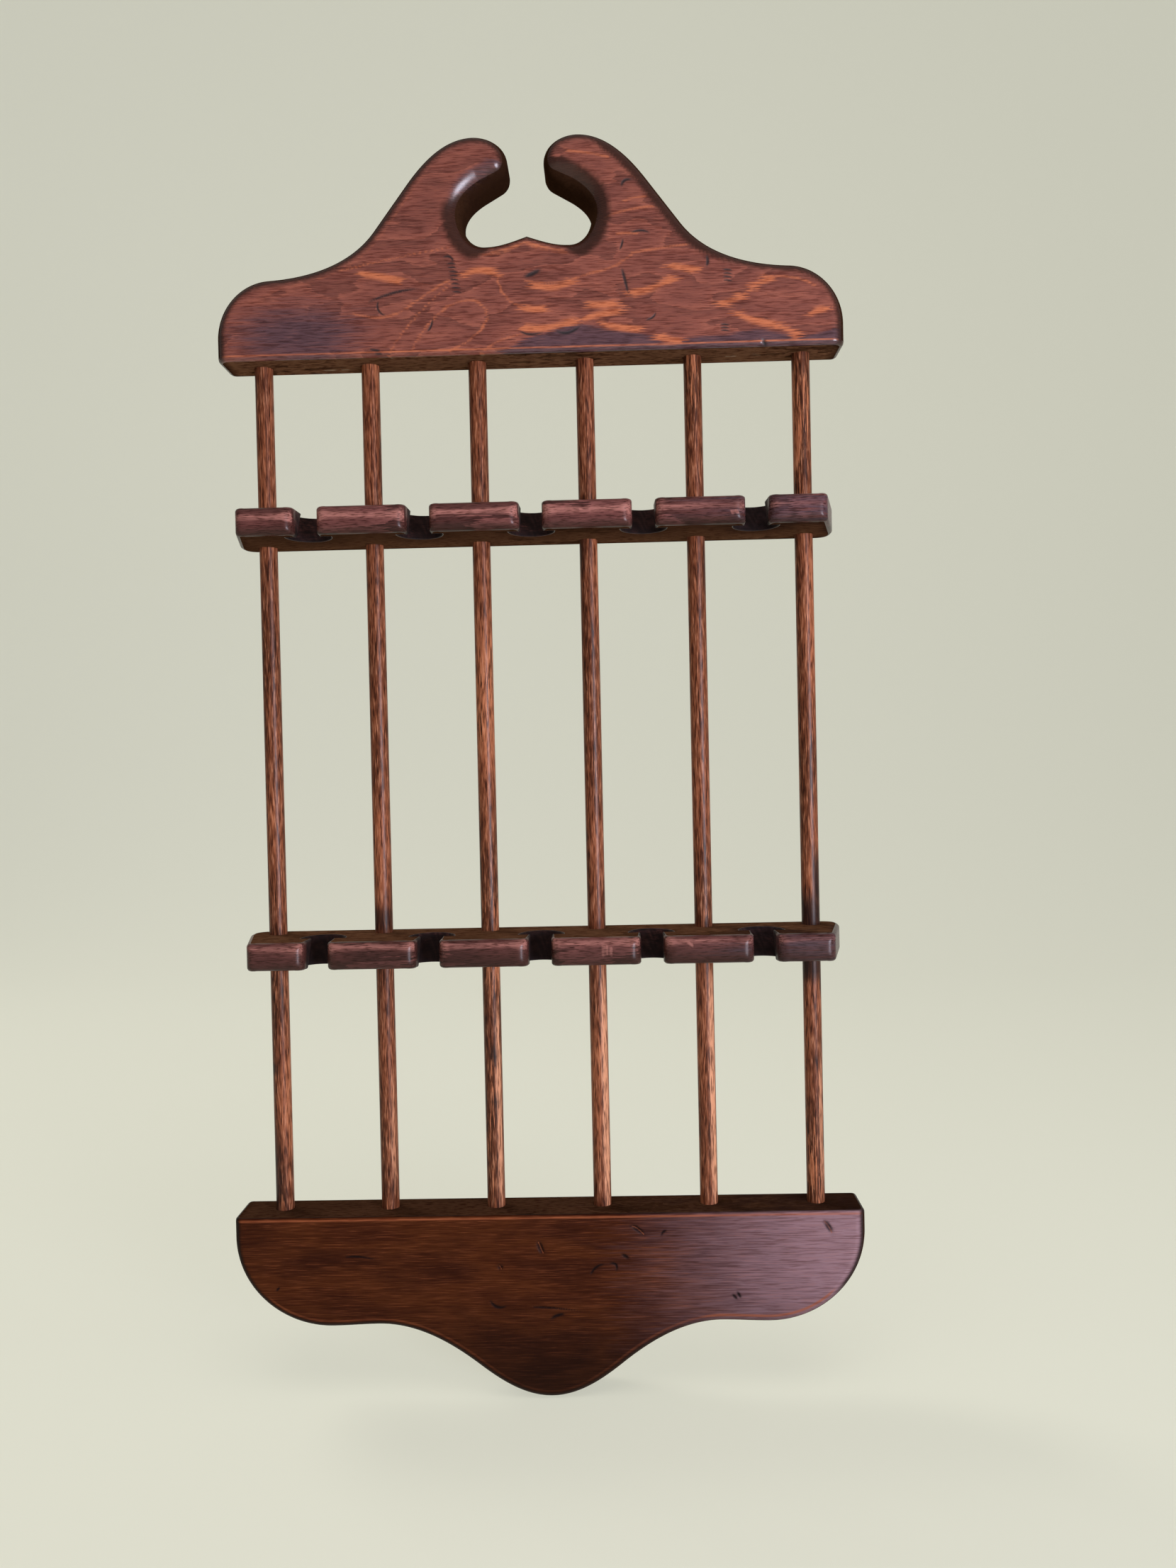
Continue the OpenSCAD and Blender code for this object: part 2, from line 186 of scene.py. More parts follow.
def stroke(bends, count=24):
    """Points along the smooth curve through three bends of a mark."""
    t = np.linspace(0, 1, count)[:, None]
    a, b, c = (np.array(bend, float) for bend in bends)
    return (1 - t) * (1 - 2 * t) * a + 4 * t * (1 - t) * b + t * (2 * t - 1) * c


def piece(name, points, quads, triangles, materials, attributes=(), picks=0):
    """A mesh object of the rack from points in millimetres, which rides on the rack's one body. Picks says
    for each face which of the materials it has."""
    mesh = bpy.data.meshes.new(name)
    mesh.from_pydata((points * MM).tolist(), [], quads.tolist() + triangles.tolist())
    for key, values in dict(attributes).items():
        layer = mesh.attributes.new(key, "FLOAT", "POINT")
        layer.data.foreach_set("value", np.asarray(values, np.float32))
    for material in materials:
        mesh.materials.append(material)
    picks = np.broadcast_to(picks, len(mesh.polygons)).astype(np.int32)
    mesh.polygons.foreach_set("material_index", picks)
    mesh.shade_smooth()
    mesh.set_sharp_from_angle(angle=np.radians(crease_degrees))
    made = bpy.data.objects.new(name, mesh)
    bpy.context.scene.collection.objects.link(made)
    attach(made, "root")
    return made


def shaped_board(outline, z, side, ease, marks, back_roll):
    """A board from its front outline, a counter-clockwise line of x, z and face roll that starts and ends on
    the straight dowelled edge. A quarter round is carried along the line on both faces, without the points
    beside a corner whose rounds would cross its mitre, and runs out through the straight edge, whose face
    is eased all round and has the sockets in it. The front is a fine mesh that is pressed in at the marks.
    Returns points, quads, triangles, how deeply each point is marked, and which faces are as sawn."""
    start, end = outline[[0, -1]] - [0, side * fine_step, 0]
    longer = np.vstack([start, outline, end])
    mitred = longer[:, :2] + pulls(longer[:, :2]) * longer[:, 2:]
    clear = nearest(mitred, longer[:, :2])[0] > 0.97 * longer[:, 2]
    clear[[0, 1, -2, -1]] = True
    line, roll = longer[clear, :2], longer[clear, 2]
    line, roll, inward = line[1:-1], roll[1:-1], pulls(line)[1:-1]
    n = len(line)
    turn = np.radians(np.linspace(0, 90, roll_steps + 1))
    back = np.minimum(roll, back_roll)
    front_in = roll * (1 - np.sin(turn))[:, None]
    front_y = board_front + roll * (1 - np.cos(turn))[:, None]
    back_in = back * (1 - np.sin(turn[::-2]))[:, None]
    back_y = board_back - back * (1 - np.cos(turn[::-2]))[:, None]
    place = line + inward * np.vstack([front_in, back_in])[..., None]
    level = np.vstack([front_y, back_y])
    rows = len(level)
    points = np.stack([place[..., 0], level, place[..., 1]], -1).reshape(-1, 3)
    quads = bands(rows, n)
    quads = quads[np.arange(len(quads)) % n < n - 1]
    varnished = varnished_steps * (n - 1)

    rims = []
    for row in (0, rows - 1):
        edge = spaced(place[row, [-1, 0]], fine_step)[1:-1]
        rims.append(np.r_[row * n + np.arange(n), len(points) + np.arange(len(edge))])
        points = np.vstack([points, np.stack([edge[:, 0], np.full(len(edge), level[row, 0]), edge[:, 1]], 1)])
    front_rim, back_rim = rims
    rim = points[front_rim][:, [0, 2]]
    grid = honeycomb(rim.min(0) + fine_step / 2, rim.max(0), fine_step)
    lines = [stroke(bends) for bends, width, depth in marks]
    grooves = [
        line + width * f * pulls(line)
        for line, (bends, width, depth) in zip(lines, marks)
        for f in (-1, -0.5, 0, 0.5, 1)
    ]
    grid = np.vstack([grid, *grooves])
    grid = grid[within(grid, rim)]
    grid = grid[nearest(grid, rim)[0] > fine_step * 0.6]
    numbers = np.r_[front_rim, len(points) + np.arange(len(grid))]
    points = np.vstack([points, np.stack([grid[:, 0], np.full(len(grid), board_front), grid[:, 1]], 1)])
    triangles = [numbers[filled(rim, [], grid)]]
    triangles.append(back_rim[filled(points[back_rim][:, [0, 2]], [], np.zeros((0, 2)))][:, ::-1])

    end_rows = np.arange(rows) * n
    section = np.r_[end_rows, back_rim[n:][::-1], end_rows[::-1] + n - 1, front_rim[n:]][::side]
    way = pulls(points[section][:, :2])
    rounds = np.radians([22.5, 45, 67.5, 90])[:, None, None]
    plan = points[section][:, :2] + way * ease * (1 - np.cos(rounds))
    height = np.broadcast_to(z + side * ease * (1 - np.sin(rounds)), (*plan.shape[:2], 1))
    first = len(points)
    points = np.vstack([points, np.concatenate([plan, height], 2).reshape(-1, 3)])
    rings = np.vstack([section, first + np.arange(plan.shape[0] * plan.shape[1]).reshape(plan.shape[:2])])
    ahead = np.roll(rings, -1, axis=1)
    eased = np.stack([rings[:-1], rings[1:], ahead[1:], ahead[:-1]], -1).reshape(-1, 4)[:, ::side]
    quads = np.vstack([quads, eased])
    sawn = np.r_[np.arange(len(quads) - len(eased)) >= varnished, np.zeros(len(eased), bool)]

    edge = plan[-1]
    holes = [ring((x, dowel_y), socket_r) for x in dowel_x]
    inner = honeycomb(edge.min(0) + [3, 1], edge.max(0) - [3, 1], 1.5)
    inner = inner[np.abs(inner[:, None] - [[x, dowel_y] for x in dowel_x]).max(2).min(1) > socket_r + 0.6]
    spare = len(points) + np.arange(len(inner))
    points = np.vstack([points, np.column_stack([inner, np.full(len(inner), z)])])
    flat = filled(edge, holes, inner)
    mouths = [len(points) + k * 2 * len(hole) + np.arange(len(hole)) for k, hole in enumerate(holes)]
    triangles.append(np.r_[rings[-1], np.concatenate(mouths), spare][flat][:, ::-side])
    for hole in holes:
        first = len(points)
        mouth = np.column_stack([hole, np.full(len(hole), z)])
        end = mouth + [0, 0, side * socket_depth]
        points = np.vstack([points, mouth, end])
        quads = np.vstack([quads, bands(2, len(hole), first)[:, ::side]])
        floor = first + len(hole) + filled(hole, [], np.zeros((0, 2)))
        triangles.append(floor[:, ::-side])
    flat_xz = points[:, [0, 2]]
    marking = np.zeros(len(points))
    at_front = np.clip(1 - (points[:, 1] - board_front) / 1.5, 0, 1)
    for line, (bends, width, depth) in zip(lines, marks):
        away, which = nearest(flat_xz, line)
        taper = np.sin(np.pi * np.linspace(0.12, 0.95, len(line)))[which]
        pressed = np.exp(-((away / (0.6 * width)) ** 2)) * taper * at_front
        points[:, 1] += depth * pressed
        marking = np.maximum(marking, np.minimum(1, 1.7 * pressed))
    faces = len(quads) + sum(map(len, triangles))
    sawn = np.r_[sawn, np.ones(faces - len(sawn), bool)]
    sawn[len(quads):len(quads) + len(triangles[0])] = False
    return points, quads, np.vstack(triangles), marking, sawn


def crest_outline():
    """Front view of the crest, counter-clockwise from the right end of its bottom edge to the left: the end,
    shoulder and flank up to the scroll, round the knob, down to the peak in the opening's floor, and back."""
    flank = np.array([53.5, 44.4])
    climb = 19.2 * np.array([np.cos(np.radians(126.8)), np.sin(np.radians(126.8))])
    tip = np.array([6.3, crest_h - 9.2])
    chin = tip + 5.5 * np.array([1 - np.sin(np.radians(30)), -np.cos(np.radians(30))])
    under = chin + 6.7 * np.array([np.cos(np.radians(30)), -np.sin(np.radians(30))])
    right = traced([
        (crest_end_x, crest_ease, 90, crest_roll),
        (crest_end_x, 8, 90, crest_roll),
        (crest_end_x - 18.7, 28.5, 177, crest_roll),
        (*flank, 126.8, crest_roll),
        (*(flank + climb), 126.8, crest_roll),
        (18, crest_h, 180, crest_roll),
        (*tip, 270, knob_roll),
        (*chin, 330, knob_roll),
        (*under, 330, inner_roll),
        (22.6, 48.5, 270, inner_roll - 1),
        (14.2, 37.9, 180, crest_roll),
        (0, 41.2, 162, crest_roll),
    ], fine_step)
    right += [0, crest_z, 0]
    left = (right * [-1, 1, 1])[::-1]
    return np.vstack([right, left[1:]])


def linear(code):
    """The linear colour of an sRGB hex code."""
    s = np.array([int(code[i:i + 2], 16) for i in (1, 3, 5)]) / 255
    return (*np.where(s <= 0.04045, s / 12.92, ((s + 0.055) / 1.055) ** 2.4), 1)


def put(tree, kind, inputs=(), stops=(), **settings):
    """Adds a node with its settings. Inputs are values or other nodes' outputs by socket name or number,
    and stops are the places and hex colours of a colour ramp. Returns the node's first output."""
    node = tree.nodes.new(kind)
    for key, value in settings.items():
        setattr(node, key, value)
    for key, value in dict(inputs).items():
        if isinstance(value, bpy.types.NodeSocket):
            tree.links.new(value, node.inputs[key])
        else:
            node.inputs[key].default_value = value
    if stops:
        elements = node.color_ramp.elements
        while len(elements) < len(stops):
            elements.new(0.5)
        for element, (place, code) in zip(elements, stops):
            element.position = place
            element.color = linear(code)
    return node.outputs[0] if node.outputs else node


def varnished_wood(name, streak, wave, pore, bands_per_wave, feather, colours, gloss, shine=0.5, fleck=0.0,
                   ragged=0.9):
    """Stained and varnished hardwood. Streak, wave and pore are the lengths in millimetres along x, y and z
    of one grain streak, one wave of the broad figure and one pore line. The eye sees bands that jump to
    light and fade to dark, feathered by the streaks, with fine dark pores and light flecks under a clear
    gloss. The mesh says where the wood is violet, light or glazed dark, where these masks paint highlights,
    sheen or shade, and where it is marked or raw.
    Gloss is the least roughness, shine the strength of reflections, fleck that of the light flecks, and
    ragged how far the streaks fray the violet and light places."""
    material = bpy.data.materials.new(name)
    material.use_nodes = True
    tree = material.node_tree
    tree.nodes.clear()
    place = put(tree, "ShaderNodeTexCoord").node.outputs["Object"]
    noise = {}
    for kind, size, detail in (("streak", streak, 3), ("wave", wave, 2), ("pore", pore, 2)):
        scale = tuple(1 / (MM * length) for length in size)
        at = put(tree, "ShaderNodeMapping", {"Vector": place, "Scale": scale})
        noise[kind] = put(tree, "ShaderNodeTexNoise", {"Vector": at, "Scale": 1.0, "Detail": detail})
    rings = put(tree, "ShaderNodeMath", {0: noise["wave"], 1: bands_per_wave}, operation="MULTIPLY")
    rings = put(tree, "ShaderNodeMath", {0: noise["streak"], 1: feather, 2: rings}, operation="MULTIPLY_ADD")
    saw = put(tree, "ShaderNodeMath", {0: rings}, operation="FRACT")
    tone = put(tree, "ShaderNodeValToRGB", {"Fac": saw}, stops=colours["bands"])
    for mask in ("violet", "light"):
        amount = put(tree, "ShaderNodeAttribute", attribute_name=mask).node.outputs["Fac"]
        amount = put(tree, "ShaderNodeMath", {0: noise["streak"], 1: ragged, 2: amount},
                     operation="MULTIPLY_ADD")
        low = ragged / 2 + 0.23
        amount = put(tree, "ShaderNodeMapRange", {"Value": amount, "From Min": low, "From Max": low + 0.52},
                     interpolation_type="SMOOTHSTEP")
        tone = put(tree, "ShaderNodeMix", {0: amount, 6: tone, 7: linear(colours[mask])},
                   data_type="RGBA").node.outputs[2]
    flecks = put(tree, "ShaderNodeMapRange",
                 {"Value": noise["pore"], "From Min": 0.57, "From Max": 0.7, "To Max": fleck})
    tone = put(tree, "ShaderNodeMix", {0: flecks, 6: tone, 7: linear(colours["light"])},
               data_type="RGBA").node.outputs[2]
    line = put(tree, "ShaderNodeValToRGB", {"Fac": noise["pore"]},
               stops=[(0.36, colours["pore"]), (0.52, "#ffffff")])
    tone = put(tree, "ShaderNodeMix", {0: 0.85, 6: tone, 7: line},
               data_type="RGBA", blend_type="MULTIPLY").node.outputs[2]
    for mask, share in (("darkening", 0.92), ("mark", 0.94)):
        amount = put(tree, "ShaderNodeAttribute", attribute_name=mask).node.outputs["Fac"]
        amount = put(tree, "ShaderNodeMath", {0: amount, 1: share}, operation="MULTIPLY")
        tone = put(tree, "ShaderNodeMix", {0: amount, 6: tone, 7: linear(colours[mask])},
                   data_type="RGBA").node.outputs[2]
    rough = put(tree, "ShaderNodeMapRange",
                {"Value": noise["streak"], "To Min": gloss, "To Max": gloss + 0.14})
    rough = put(tree, "ShaderNodeMath", {0: amount, 1: 0.45, 2: rough}, operation="MULTIPLY_ADD")
    relief = put(tree, "ShaderNodeMath", {0: noise["streak"], 1: 0.5, 2: noise["pore"]},
                 operation="MULTIPLY_ADD")
    bump = put(tree, "ShaderNodeBump", {"Strength": 0.08, "Distance": 0.12 * MM, "Height": relief})
    shader = put(tree, "ShaderNodeBsdfPrincipled", {
        "Base Color": tone, "Roughness": rough, "Normal": bump, "IOR": 1.5, "Specular IOR Level": shine,
    })
    put(tree, "ShaderNodeOutputMaterial", {"Surface": shader})
    return material


def smooth(low, high, x):
    """A soft step from 0 at low to 1 at high."""
    t = np.clip((x - low) / (high - low), 0, 1)
    return t * t * (3 - 2 * t)


def drawn(points, lines, width):
    """How strongly each point lies on drawn lines: a bell across each line, of that half width."""
    return np.max([np.exp(-((nearest(points, stroke(line))[0] / width) ** 2)) for line in lines], axis=0)


def feathered(points):
    """The points carried sideways along the grain, by two fine waves of their height that drift with x, so
    that what is drawn at them comes out feathered."""
    x, z = points.T
    slow = 1.6 * np.sin(7.1 * z + 1.3 * np.sin(0.16 * x))
    fast = 1.1 * np.sin(12.7 * z + 2 * np.sin(0.11 * x + 1))
    return np.stack([x + slow + fast, z], 1)


# Rows of small dents on the crest as x and z of the first, step across, step up, and count
dent_rows = [(-27.4, 7.2, 0.23, -1.4, 8), (67.8, 2.2, 0, -1.2, 4), (66.5, -16.5, 0, -1.0, 3)]
dents = [(x + k * lean, z + k * fall) for x, z, lean, fall, count in dent_rows for k in range(count)]
# Dents and scratches of the crest as three bends, width and depth
crest_marks = [
    (((-54.7, -5.1), (-46.3, -2.3), (-37.7, -1.1)), 0.7, 0.16),
    (((-51.9, -5.3), (-51.8, -8.2), (-49.4, -10.1)), 0.5, 0.14),
    (((-33.1, -11.8), (-33.8, -14.4), (-35.0, -15.9)), 0.5, 0.14),
    (((-0.5, 2.0), (2.2, 3.0), (4.8, 4.3)), 1.1, 0.2),
    (((-2.6, -16.9), (0.6, -17.9), (5.1, -17.3)), 0.5, 0.12),
    (((10.0, -17.2), (13.9, -17.7), (18.0, -15.5)), 0.7, 0.14),
    (((-28.5, 9.5), (-26.4, 9.4), (-25.6, 7.8)), 0.5, 0.14),
    (((33.3, 32.1), (34.4, 33.8), (37.0, 34.1)), 0.7, 0.14),
    (((36.6, 16.0), (39.8, 16.5), (42.6, 15.6)), 0.5, 0.14),
    (((33.3, 13.6), (32.9, 11.8), (32.1, 10.1)), 0.5, 0.12),
    (((32.9, 3.3), (33.8, -0.4), (34.8, -5.0)), 0.7, 0.16),
    (((41.0, -14.1), (43.1, -13.3), (44.1, -11.7)), 0.5, 0.14),
    (((62.1, 7.0), (62.4, 5.2), (61.9, 3.6)), 0.7, 0.14),
    (((80.9, -22.3), (81.5, -23.4), (82.3, -24.5)), 0.9, 0.6),
    (((-55.0, -21.6), (-53.0, -21.9), (-51.7, -22.0)), 0.5, 0.12),
    (((-53.2, -22.9), (-52.0, -23.1), (-50.9, -23.2)), 0.5, 0.12),
    *(
        (((x, z), (x + 1.5, z), (x + 2.9, z - 0.3)), 0.36, 0.1)
        for x, z in dents
    ),
]
# Light lines of the crest's figure as three bends each, fine ones and broad ones
crest_fine_figure = [
    ((-48.9, -23.9), (-40.0, -12.0), (-26.6, 0.2)),
    ((-40.2, -21.7), (-34.5, -13.5), (-27.6, -7.5)),
    ((-27.6, -7.5), (-18.5, -5.8), (-14.0, -11.1)),
    ((-14.0, -11.1), (-17.8, -17.2), (-27.2, -22.9)),
    ((-60.4, -9.0), (-50.0, -10.6), (-41.0, -7.0)),
    ((-41.0, -7.0), (-34.0, -2.5), (-27.4, 1.4)),
    ((-10.3, 3.0), (-7.8, -4.5), (-0.8, -9.1)),
    ((-17.4, -24.8), (-8.0, -19.2), (6.4, -16.6)),
    ((-64.9, 5.7), (-48.0, 9.2), (-27.2, 12.7)),
    ((-19.1, 10.0), (-8.5, 10.4), (-1.1, 13.9)),
    ((-1.1, 13.9), (6.0, 11.0), (13.5, 9.8)),
    ((-0.8, 0.6), (10.0, -0.5), (21.5, 2.4)),
    ((21.5, 2.4), (30.0, 4.6), (36.7, 9.0)),
    ((36.7, 9.0), (45.3, 10.2), (55.3, 11.3)),
    ((75.0, -6.3), (80.1, -2.2), (85.0, -0.6)),
    ((85.0, -0.6), (92.2, -1.2), (99.3, -4.2)),
    ((14.5, 44.6), (21.6, 43.6), (28.8, 42.0)),
    ((26.9, 21.4), (34.0, 23.4), (43.9, 24.6)),
    ((34.2, 26.9), (37.8, 27.7), (41.4, 28.1)),
    ((31.1, 15.6), (34.7, 15.8), (38.3, 15.4)),
]
crest_broad_figure = [
    ((-56.8, 4.3), (-50.3, 3.3), (-43.8, 1.5)),
    ((-22.5, 2.9), (-16.0, 4.6), (-10.3, 3.0)),
    ((-1.0, -8.7), (2.0, -9.4), (6.0, -9.2)),
    ((-1.2, -15.5), (6.0, -15.8), (16.8, -13.6)),
    ((20.5, -8.3), (26.0, -8.6), (31.3, -8.2)),
    ((20.4, -12.7), (26.0, -11.6), (33.0, -10.6)),
    ((25.4, -15.2), (32.0, -16.4), (39.0, -17.4)),
    ((35.0, -5.1), (43.0, -3.2), (50.8, 0.1)),
    ((49.5, 4.0), (54.0, 3.4), (58.7, 2.2)),
    ((66.4, -9.6), (70.5, -8.4), (75.0, -6.3)),
    ((72.0, -12.7), (76.0, -14.6), (85.5, -17.3)),
    ((44.7, -19.7), (48.0, -21.0), (51.8, -21.7)),
    ((97.7, -13.4), (100.0, -12.6), (102.7, -12.1)),
    ((87.6, -18.1), (90.5, -19.4), (93.3, -21.1)),
    ((2.0, -0.8), (9.0, -2.0), (16.0, 0.2)),
    ((77.0, -4.6), (80.1, -2.4), (84.0, -0.9)),
]
# Upper limit of the violet stain along the crest's bottom edge
violet_x = [-14, 0, 8, 17, 28, 39, 47, 60, 70, 78, 88, 95, 108]
violet_z = [-25, -19, -16.5, -14.6, -16.6, -18.6, -22, -20, -19.5, -18, -20.3, -21.5, -18]
# Pale scuffs on the crest's underside, as three bends of x and y
crest_scuffs = [
    ((-74.0, -5.0), (-72.0, -5.2), (-70.5, -5.0)),
    ((-68.0, -5.5), (-66.5, -5.3), (-65.0, -5.2)),
    ((69.0, -8.0), (70.5, -8.2), (72.0, -8.0)),
    ((78.0, -8.5), (79.5, -8.4), (81.0, -8.3)),
]
# Reddish brown with fine streaks, orange figure and dark glazed edges, under a bright gloss
crest_wood = varnished_wood(
    "mahogany-stained birch with varnish", streak=(14, 4, 0.55), wave=(46, 60, 17), pore=(4.2, 0.8, 0.3),
    bands_per_wave=7, feather=0.45, gloss=0.2, shine=0.4, fleck=0.1, ragged=0.5,
    colours={
        "bands": [(0.0, "#8f5344"), (0.18, "#824a3e"), (0.6, "#774339"), (1.0, "#6c3d34")],
        "violet": "#553b40", "light": "#bb6b48", "pore": "#b09690", "darkening": "#2b140d", "mark": "#140d0f",
    })
# Dull dark brown without gloss, for the walls, backs and flat edges
sawn_wood = varnished_wood(
    "stained birch as sawn", streak=(9, 3, 0.8), wave=(60, 40, 30), pore=(3, 0.6, 0.35),
    bands_per_wave=1.5, feather=0.8, gloss=0.4, shine=0.0,
    colours={
        "bands": [(0.0, "#704e39"), (0.3, "#634431"), (0.7, "#563b29"), (1.0, "#4c3323")],
        "violet": "#2f2122", "light": "#96806c", "pore": "#8a7266", "darkening": "#2b190f", "mark": "#160f11",
    })


outline = crest_outline()
points, quads, triangles, marking, sawn = shaped_board(
    outline, crest_z, 1, crest_ease, crest_marks, crest_back_roll)
x, y, z = points.T
flat_xz = points[:, [0, 2]]
grained = feathered(flat_xz)
fine = drawn(0.75 * flat_xz + 0.25 * grained, crest_fine_figure, 0.8)
figure = np.maximum(0.55 * fine, 0.74 * drawn(grained, crest_broad_figure, 1.7))
low_right = 1 - smooth(-1.5, 1.5, z - np.interp(grained[:, 0], violet_x, violet_z))
low_left = np.exp(-(((2 * grained[:, 0] - x + 80) / 28) ** 2 + ((z + 16) / 14) ** 2))
shaped = outline[:, :2]
distance, which = nearest(flat_xz, shaped)
edge_x, edge_z = shaped[which].T
opening = (1 - smooth(23, 25, np.abs(edge_x))) * (1 - smooth(41, 44, edge_z))
floor_edge = (1 - smooth(12, 18, np.abs(edge_x))) * (1 - smooth(16, 22, edge_z))
right_flank = smooth(24, 30, edge_x) * smooth(6, 14, edge_z)
left_flank = smooth(30, 40, -edge_x) * smooth(0, 6, edge_z)
left_scroll = opening * smooth(0, 4, -edge_x) * smooth(25, 32, edge_z)
reach = 3.0 + 3.6 * opening * (1 - floor_edge) - 1.2 * floor_edge + 1.5 * right_flank - 4.4 * left_scroll
darkening = 1 - smooth(reach - 1.1, reach + 1.1, distance + 0.15 * (grained[:, 0] - x))
worn_line = np.exp(-(((distance - reach - 1.2) / 0.7) ** 2)) * np.maximum(0.6 * floor_edge, 0.4 * left_flank)
worn_line *= y < board_front + 4
worn_edge = 0.6 * np.exp(-(((z - crest_z - crest_ease) / 0.5) ** 2)) * (y < board_front + 0.8)
scuffed = 0.7 * drawn(points[:, :2], crest_scuffs, 0.8) * (np.abs(z - crest_z) < 0.05)
violet = 0.78 * np.maximum(low_right, low_left) * (y < board_front + 2)
violet = np.maximum(violet, 0.6 * left_scroll * (1 - smooth(5, 9, distance)))
crest = piece("crest_board_dressed", points, quads, triangles, [crest_wood, sawn_wood], {
    "darkening": darkening, "mark": marking,
    "violet": violet,
    "light": np.max([figure * (y < board_front + 3), worn_line, worn_edge, scuffed], axis=0),
}, sawn)
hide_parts("crest_board")

# Apron board: the bottom of the rack, shaped with two lobes, two brows and a drop in the middle.
# It is sawn, rounded over and finished as the crest is, and the dowels stand in its top edge.
apron_low, apron_high = (np.array(corner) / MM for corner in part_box("apron_board"))
apron_end_x = apron_high[0]
apron_z = apron_high[2]
apron_h = apron_high[2] - apron_low[2]
apron_ease = 1.0
apron_roll = 2.8
apron_back_roll = 1.8


def apron_outline():
    """Front view of the apron, counter-clockwise from the left end of its top edge to the right: round the
    end and lobe, over the brow and down to the drop in the middle, and back the same way."""
    left = traced([
        (-apron_end_x, -apron_ease, 270, apron_roll),
        (-apron_end_x, -7, 270, apron_roll),
        (33.8 - apron_end_x, -39.1, 360, apron_roll),
        (-60.4, -38.6, 360, apron_roll),
        (-25.5, -53.3, 322, apron_roll),
        (0, -apron_h, 360, apron_roll),
    ], fine_step)
    left += [0, apron_z, 0]
    right = (left * [-1, 1, 1])[::-1]
    return np.vstack([left, right[1:]])


# Gouges and scratches of the apron as three bends, width and depth
apron_marks = [
    (((-3.6, -334.0), (-2.9, -336.0), (-2.0, -337.8)), 1.3, 0.7),
    (((29.3, -328.8), (31.2, -329.8), (33.3, -331.7)), 1.1, 0.6),
    (((39.5, -332.0), (40.3, -330.8), (41.4, -330.5)), 0.6, 0.3),
    (((96.4, -328.2), (97.8, -330.0), (98.8, -332.0)), 1.2, 0.7),
    (((25.7, -338.7), (26.9, -339.4), (28.0, -340.2)), 0.8, 0.4),
    (((14.6, -345.4), (16.4, -343.1), (19.2, -342.0)), 0.6, 0.3),
    (((21.5, -341.7), (23.4, -342.3), (23.5, -344.4)), 0.6, 0.3),
    (((64.0, -353.3), (64.7, -354.1), (65.5, -354.8)), 0.7, 0.35),
    (((65.6, -352.5), (66.2, -353.5), (66.7, -354.5)), 0.7, 0.35),
    (((-17.4, -342.2), (-17.1, -342.7), (-16.8, -343.2)), 1.2, 0.6),
    (((-20.8, -354.6), (-18.4, -356.7), (-15.3, -356.3)), 0.7, 0.3),
    (((-71.4, -338.4), (-66.6, -338.3), (-61.0, -339.3)), 0.5, 0.2),
    (((-5.7, -356.8), (0.6, -357.2), (10.5, -358.3)), 0.5, 0.25),
    (((0.5, -360.9), (2.8, -359.8), (5.1, -359.4)), 0.8, 0.35),
    (((-96.2, -349.9), (-95.7, -349.3), (-95.1, -348.8)), 0.5, 0.2),
]
# Deep warm brown with fine streaks, and a painted pale sheen that grows towards the right, under a faint
# gloss
apron_wood = varnished_wood(
    "walnut-stained birch with varnish", streak=(16, 3, 0.5), wave=(52, 60, 15), pore=(7, 0.8, 0.27),
    bands_per_wave=3, feather=0.2, gloss=0.25, shine=0.05, fleck=0.16, ragged=0.25,
    colours={
        "bands": [(0.0, "#331509"), (0.3, "#3d1b0b"), (0.55, "#47220e"), (1.0, "#331509")],
        "violet": "#8a6d74", "light": "#9a5636", "pore": "#c4b3ac", "darkening": "#150a06", "mark": "#110a09",
    })
outline = apron_outline()
points, quads, triangles, marking, sawn = shaped_board(
    outline, apron_z, -1, apron_ease, apron_marks, apron_back_roll)
x, y, z = points.T
flat_xz = points[:, [0, 2]]
grained = feathered(flat_xz)
shaped = outline[:, :2]
distance, which = nearest(flat_xz, shaped)
edge_x, edge_z = shaped[which].T
lower_edge = 1 - smooth(-356, -350, edge_z)
right_edge = smooth(38, 60, edge_x) * lower_edge
darkening = (1 - 0.75 * right_edge) * (1 - smooth(1.2, 2.8, distance))
darkening = np.maximum(darkening, 0.85 * (1 - smooth(-390, -345, z)))
darkening = np.maximum(darkening, 0.75 * (z > apron_z - 0.1))
worn_line = np.exp(-(((distance - 2.6) / 0.8) ** 2)) * np.maximum(0.44 * lower_edge, 0.6 * right_edge)
worn_edge = 0.55 * np.exp(-(((z - apron_z + apron_ease) / 0.7) ** 2)) * (y < board_front + 0.8)
# Painted sheen: a lilac reflection that grows towards the right, and a painted highlight line along the round
# of the right end
painted_sheen = 0.18 + 0.5 * smooth(-15, 130, x)
painted_sheen += 0.3 * np.exp(-(((distance - 2.6) / 0.6) ** 2)) * smooth(95, 108, edge_x)
gouges = [bends for bends, width, depth in apron_marks if depth >= 0.6]
raw = drawn(flat_xz, gouges, 0.3) * (y < board_front + 2)
apron = piece("apron_board_dressed", points, quads, triangles, [apron_wood, sawn_wood], {
    "darkening": darkening, "mark": marking * (1 - 0.5 * raw), "violet": painted_sheen,
    "light": np.max([worn_line, worn_edge, 0.6 * raw], axis=0),
}, sawn)
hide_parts("apron_board")

